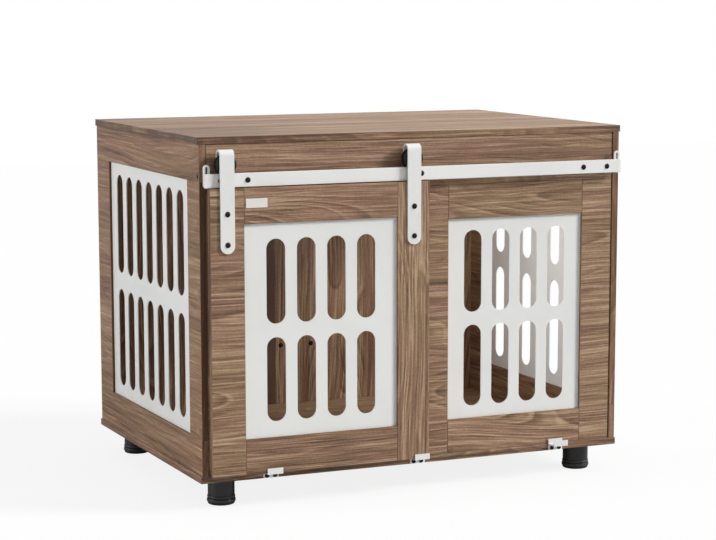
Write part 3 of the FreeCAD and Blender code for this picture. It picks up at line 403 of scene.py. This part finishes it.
def black(kind, node, colour, metal, roughness, grit, gloss=0.2, painted_light=None):
    """Covers a node in blackened steel or black nylon, with grit and pale scuffs. The last
    argument adds one node's own painted shade and highlights."""
    shader = material(kind + "_" + node)
    x, y, z = shader.axes("Object")
    grain = shader.speckle(grit, detail=3.0, roughness=0.6)
    scuff = shader.noise(x * 70.0, y * 70.0, z * 25.0, detail=4.0, roughness=0.7)
    pale = tuple(channel * 2.2 for channel in colour)
    tint = shader.blend(scuff.ramp(0.55, 0.75) * 0.5, colour + (1,), pale + (1,))
    if painted_light:
        tint = painted_light(shader, tint)
    worn = roughness + scuff * 0.15
    cover(node, shader.finish(tint, worn, grain, black_relief, gloss, metal))


screw_black = (0.006, 0.006, 0.006)
steel_grit = 2600.0
for node in ("back_panel_screws", "back_panel_nails", "side_screws"):
    black("blackened", node, screw_black, metal=0.0, roughness=0.60, grit=steel_grit)


# Fixed panel. The right half of the front: two stiles and two rails of foiled board,
# dowelled at the corners, round a grille like the door's.
fixed_grain = {
    "left_stile": dict(swing=0.02, figure=0.8, band=-0.2, tone=0.0),
    "right_stile": dict(swing=0.02, figure=0.8, band=-0.2, tone=0.15),
    "bottom_rail": dict(swing=0.07, figure=1.2, band=-0.2, tone=0.22),
    "top_rail": dict(swing=0.02, figure=0.8, band=-0.2, tone=0.0),
}
for place, (piece, looks) in enumerate(fixed_grain.items()):
    foil("fixed_panel_" + piece, X, Z, seed=31.9 + place * seed_step, **looks)


# Fascia and top board. The fascia carries the track, and the top board lies on the sides,
# the fascia and the back.
def long_streaks(shader, place):
    """Broad streaks that run the length of the top, which is darker at its left end."""
    x, y, z = place
    wide = shader.noise(x * 1.1 + 4.0, y * 17.0, z * 2.0, detail=3.0, roughness=0.6)
    left_end = 1.0 - x.ramp(-0.42, -0.05)
    return (wide - 0.5) * 3.0 - left_end * 0.5


foil("fascia_board", X, Z, swing=0.006, figure=0.4, band=-0.2, tone=0.0, seed=41.3)
foil(
    "top_board", X, Y, swing=0.02, figure=0.6, band=-0.65, tone=0.08, seed=44.7,
    extra=long_streaks, gloss=0.28,
)


# Dowels. Fluted beech pins, glued into the corner joints of the frames, under the top board
# and on the fixed panel.
def beech(node):
    shader = material("beech_" + node)
    fleck = shader.speckle(300.0, detail=3.0, roughness=0.6)
    colour = shader.blend(fleck, (0.50, 0.34, 0.20, 1), (0.66, 0.48, 0.31, 1))
    cover(node, shader.finish(colour, 0.6 + fleck * 0.1, fleck, depth=0.0001))


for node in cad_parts:
    if node.endswith("dowels"):
        beech(node)


# Feet. Round feet moulded in black nylon, with two rings near the floor, each turned onto
# a zinc-plated stud in the bottom board.
nylon_black = (0.017, 0.017, 0.018)
nylon_grit = 1500.0


def ring_shade_and_highlights(shader, tint):
    """Painted shade in the grooves beside the two rings, and painted highlights that make the
    rings paler on their crests.
    """
    height = shader.axes("Object")[Z]
    toe, between, neck = (0.0033, 0.0014), (0.0107, 0.0017), (0.0163, 0.0015)
    low_ring, high_ring = (0.0070, 0.0022), (0.0134, 0.0016)
    groove_shade = height.near(*toe) + height.near(*between) + height.near(*neck)
    crest_highlights = height.near(*low_ring) + height.near(*high_ring)
    highlighted = shader.blend(crest_highlights * 0.6, tint, (0.050, 0.050, 0.052, 1))
    return shader.blend(groove_shade.lower(1.0), highlighted, (0.002, 0.002, 0.002, 1))


for node in ("foot_front_left", "foot_front_right", "foot_rear_left", "foot_rear_right"):
    black(
        "nylon", node, nylon_black, metal=0.0, roughness=0.28, grit=nylon_grit, gloss=0.4,
        painted_light=ring_shade_and_highlights,
    )


def zinc(node):
    shader = material("zinc_" + node)
    bloom = shader.speckle(300.0, detail=3.0, roughness=0.6)
    colour = shader.blend(bloom, (0.55, 0.56, 0.57, 1), (0.70, 0.70, 0.69, 1))
    cover(node, shader.finish(colour, 0.28 + bloom * 0.2, bloom, depth=0.00004, metal=1.0))


for node in ("foot_studs", "base_screws"):
    zinc(node)


# Track. A flat steel bar on short spacers, bolted through the fascia with black button
# heads, and a folded steel stop at each end.
track_white = (0.88, 0.88, 0.86)
bolt_black = (0.012, 0.012, 0.012)
for node in ("track_bar", "track_spacers", "end_stop_left", "end_stop_right"):
    powder_coat(node, track_white)
black("blackened", "track_bolts", bolt_black, metal=0.2, roughness=0.42, grit=steel_grit)


# Hangers and rollers. A steel strap hooks over each black nylon roller, which turns on a
# zinc-plated axle and runs on the track, and two black bolts hold the door to each strap.
for node in ("hanger_left", "hanger_right"):
    powder_coat(node)
for node in ("roller_left", "roller_right"):
    black("nylon", node, nylon_black, metal=0.0, roughness=0.38, grit=nylon_grit)
black("blackened", "hanger_bolts", bolt_black, metal=0.2, roughness=0.42, grit=steel_grit)
zinc("roller_axles")


# Door. Two stiles and two rails of foiled board, dowelled at the corners. The right stile
# alone has its grain upright, as the photograph shows.
def flame(shader, place):
    """Pale chevrons high on the right stile, and a line near each of its edges."""
    x, z = place[X], place[Z]
    low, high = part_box("door_right_stile")
    middle = (low[X] + high[X]) / 2
    half = (high[X] - low[X]) / 2
    lean = abs(x - middle)
    ragged = shader.noise(x * 260.0, lean * 3.0, z * 45.0, detail=3.0, roughness=0.6)
    flame_z, flame_reach = 0.40, 0.13
    crest = (ragged + lean * 2.0).ramp(0.50, 0.66) * z.near(flame_z, flame_reach)
    line_inset, line_width = 0.006, 0.0012
    line = lean.near(half - line_inset, line_width)
    return crest * 0.5 - line * 0.9


foil("door_left_stile", X, Z, swing=0.016, figure=0.9, band=-0.5, tone=0.0, seed=51.5)
foil(
    "door_right_stile", Z, X, swing=0.03, figure=0.6, band=-0.2, tone=0.05, seed=53.9,
    extra=flame,
)
foil(
    "door_bottom_rail", X, Z, swing=0.012, figure=0.7, band=-0.2, tone=-0.24, seed=56.1,
    coarse=0.85,
)
foil("door_top_rail", X, Z, swing=0.02, figure=0.9, band=-0.2, tone=0.0, seed=58.3)


# Name plate. A small bare plate of pale steel, stuck on the door's top rail.
powder_coat("name_plate", tint=(0.84, 0.81, 0.75), kind="pale_")


# Floor guides. White steel strips folded into a channel that the door's foot slides in,
# each held to the edge of the bottom board by two black screws.
for node in ("floor_guide_left", "floor_guide_middle", "floor_guide_right"):
    powder_coat(node)
black("blackened", "guide_screws", bolt_black, metal=0.2, roughness=0.42, grit=steel_grit)


# Floor. A seamless sheet of white paper that keeps the table's soft shadow. The camera
# sees it nearly white, and the table is lit by its darker tint.
floor_size = 14
glow = 0.85
bpy.ops.mesh.primitive_plane_add(size=floor_size)
floor = bpy.context.object
floor.name = "floor"
paper = material("paper")
fibre = paper.speckle(300.0)
ray = paper.node("ShaderNodeLightPath", {}, {})
seen = Number(paper, ray.outputs["Is Camera Ray"])
sheet = paper.blend(fibre, (0.60, 0.60, 0.60, 1), (0.64, 0.64, 0.64, 1))
tint = paper.blend(seen, sheet, (0.95, 0.95, 0.95, 1))
floor.data.materials.append(paper.finish(tint, 0.8, fibre, depth=0.00005))
white = paper.node("ShaderNodeEmission", {}, {"Color": (1, 1, 1, 1), "Strength": 1.0})
surface = paper.tree.nodes["Principled BSDF"].outputs[0]
sockets = {0: seen * glow, 1: surface, 2: white.outputs[0]}
mixed = paper.node("ShaderNodeMixShader", {}, sockets)
paper.feed(paper.tree.nodes["Material Output"].inputs["Surface"], mixed.outputs[0])
